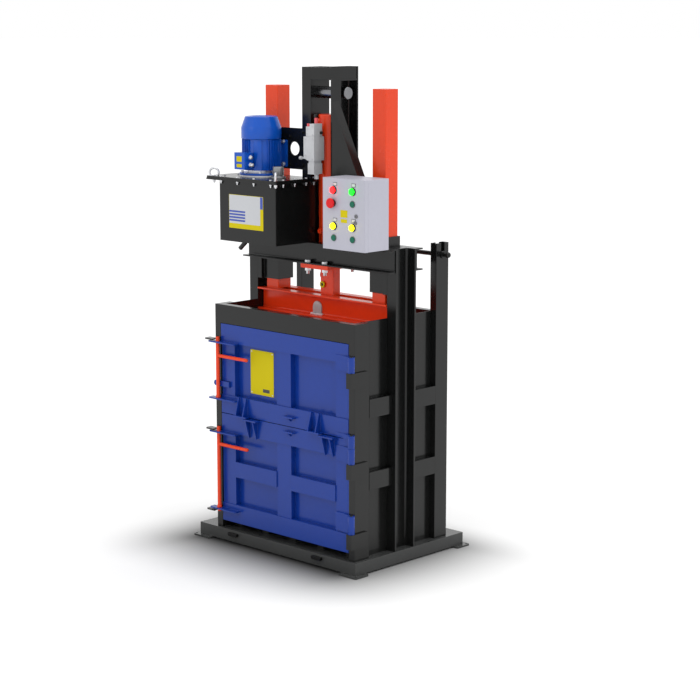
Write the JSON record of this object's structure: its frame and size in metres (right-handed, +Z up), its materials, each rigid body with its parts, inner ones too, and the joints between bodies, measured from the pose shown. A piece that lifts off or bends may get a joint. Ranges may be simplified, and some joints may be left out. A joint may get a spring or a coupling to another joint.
{
  "type": "recycling baler",
  "caption": "Upright press for waste paper and film: open-top steel chamber with two blue doors, red hydraulic ram on guide bars, oil tank with motor, and a push-button cabinet.",
  "frame": {"origin": "on the floor, under the middle of the base and its foot plates", "axes": "+Z up, -Y out of the doors (the front), +X to the right seen from the front, the doors' hinge side"},
  "size_m": [1.34, 0.968, 2.776],
  "materials": {
    "dark_steel": "satin",
    "ram_red": "satin",
    "bar_orange": "satin",
    "lock_orange": "satin",
    "door_blue": "satin",
    "motor_blue": "satin",
    "chrome_rod": "polished",
    "zinc_steel": "satin",
    "gray_cap": "satin",
    "valve_grey": "satin",
    "cabinet_grey": "satin",
    "gear_grey": "matte",
    "red_plastic": "gloss",
    "green_plastic": "gloss",
    "yellow_plastic": "gloss",
    "teal_plastic": "gloss"
  },
  "bodies": {
    "frame": {"base_frame": "dark_steel", "foot_plates": "dark_steel", "column_left": "dark_steel", "column_right": "dark_steel", "front_frame": "dark_steel", "rear_post_left": "dark_steel", "rear_post_right": "dark_steel", "reel_bar": "dark_steel", "side_panel_left": "dark_steel", "side_panel_right": "dark_steel", "rear_wall": "dark_steel", "chamber_floor": "dark_steel", "beam_front": "dark_steel", "beam_rear": "dark_steel", "guide_sleeve_left": "dark_steel", "guide_sleeve_right": "dark_steel", "tower_left": "dark_steel", "tower_right": "dark_steel", "tower_ties": "dark_steel", "lifting_bar": "zinc_steel", "cabinet_bracket": "dark_steel", "cylinder_barrel": "ram_red", "cylinder_gland": "zinc_steel", "flange_fasteners": "zinc_steel", "oil_tank": "dark_steel", "tank_lid": "dark_steel", "lid_bolts": "zinc_steel", "lifting_eye": "zinc_steel", "filler_cap": "gray_cap", "motor_body": "motor_blue", "motor_cowl": "motor_blue", "terminal_box": "motor_blue", "pump_bracket": "dark_steel", "valve_block": "valve_grey", "cabinet_box": "cabinet_grey", "control_gear": "gear_grey", "hinge_brackets": "dark_steel", "lock_keepers": "dark_steel"},
    "ram": {"piston_rod": "chrome_rod", "rod_clevis": "ram_red", "clevis_pin": "ram_red", "crosshead": "ram_red", "ram_platen": "ram_red", "guide_bar_left": "bar_orange", "guide_bar_right": "bar_orange"},
    "upper_door": {"upper_door": "door_blue"},
    "lower_door": {"lower_door": "door_blue"},
    "upper_lock": {"upper_lock_rod": "lock_orange"},
    "lower_lock": {"lower_lock_rod": "lock_orange"},
    "cabinet_door": {"cabinet_door": "cabinet_grey"},
    "emergency_stop": {"emergency_stop": "red_plastic"},
    "button_red": {"button_red": "red_plastic"},
    "button_green": {"button_green": "green_plastic"},
    "button_yellow_left": {"button_yellow_left": "yellow_plastic"},
    "button_yellow_right": {"button_yellow_right": "yellow_plastic"},
    "button_teal_top": {"button_teal_top": "teal_plastic"},
    "button_teal_left": {"button_teal_left": "teal_plastic"},
    "button_teal_right": {"button_teal_right": "teal_plastic"},
    "cabinet_lock_upper": {"cabinet_lock_upper": "zinc_steel"},
    "cabinet_lock_lower": {"cabinet_lock_lower": "zinc_steel"}
  },
  "joints": [
    {"name": "ram_slide", "type": "slide", "parent": "frame", "child": "ram", "axis": [0, 0, -1], "range_m": [0, 0.75]},
    {"name": "upper_door_hinge", "type": "hinge", "parent": "frame", "child": "upper_door", "pos_m": [0.609, -0.455, 0.77], "axis": [0, 0, 1], "range_deg": [0, 150]},
    {"name": "lower_door_hinge", "type": "hinge", "parent": "frame", "child": "lower_door", "pos_m": [0.609, -0.455, 0.3], "axis": [0, 0, 1], "range_deg": [0, 150]},
    {"name": "upper_lock_turn", "type": "hinge", "parent": "upper_door", "child": "upper_lock", "pos_m": [-0.468, -0.454, 1.109], "axis": [0, 0, -1], "range_deg": [0, 100]},
    {"name": "lower_lock_turn", "type": "hinge", "parent": "lower_door", "child": "lower_lock", "pos_m": [-0.468, -0.454, 0.583], "axis": [0, 0, -1], "range_deg": [0, 100]},
    {"name": "cabinet_door_hinge", "type": "hinge", "parent": "frame", "child": "cabinet_door", "pos_m": [0.3116, -0.3507, 1.99], "axis": [0, 0, -1], "range_deg": [0, 110]},
    {"name": "emergency_stop_press", "type": "slide", "parent": "cabinet_door", "child": "emergency_stop", "axis": [0, 1, 0], "range_m": [0, 0.004]},
    {"name": "button_red_press", "type": "slide", "parent": "cabinet_door", "child": "button_red", "axis": [0, 1, 0], "range_m": [0, 0.004], "stiffness_N_per_m": 600, "springref_m": -0.001},
    {"name": "button_green_press", "type": "slide", "parent": "cabinet_door", "child": "button_green", "axis": [0, 1, 0], "range_m": [0, 0.004], "stiffness_N_per_m": 600, "springref_m": -0.001},
    {"name": "button_yellow_left_press", "type": "slide", "parent": "cabinet_door", "child": "button_yellow_left", "axis": [0, 1, 0], "range_m": [0, 0.004], "stiffness_N_per_m": 600, "springref_m": -0.001},
    {"name": "button_yellow_right_press", "type": "slide", "parent": "cabinet_door", "child": "button_yellow_right", "axis": [0, 1, 0], "range_m": [0, 0.004], "stiffness_N_per_m": 600, "springref_m": -0.001},
    {"name": "button_teal_top_press", "type": "slide", "parent": "cabinet_door", "child": "button_teal_top", "axis": [0, 1, 0], "range_m": [0, 0.004], "stiffness_N_per_m": 600, "springref_m": -0.001},
    {"name": "button_teal_left_press", "type": "slide", "parent": "cabinet_door", "child": "button_teal_left", "axis": [0, 1, 0], "range_m": [0, 0.004], "stiffness_N_per_m": 600, "springref_m": -0.001},
    {"name": "button_teal_right_press", "type": "slide", "parent": "cabinet_door", "child": "button_teal_right", "axis": [0, 1, 0], "range_m": [0, 0.004], "stiffness_N_per_m": 600, "springref_m": -0.001},
    {"name": "cabinet_lock_upper_turn", "type": "hinge", "parent": "cabinet_door", "child": "cabinet_lock_upper", "pos_m": [0.57, -0.376, 1.989], "axis": [0, 1, 0], "range_deg": [0, 90]},
    {"name": "cabinet_lock_lower_turn", "type": "hinge", "parent": "cabinet_door", "child": "cabinet_lock_lower", "pos_m": [0.564, -0.376, 1.953], "axis": [0, 1, 0], "range_deg": [0, 90]}
  ]
}
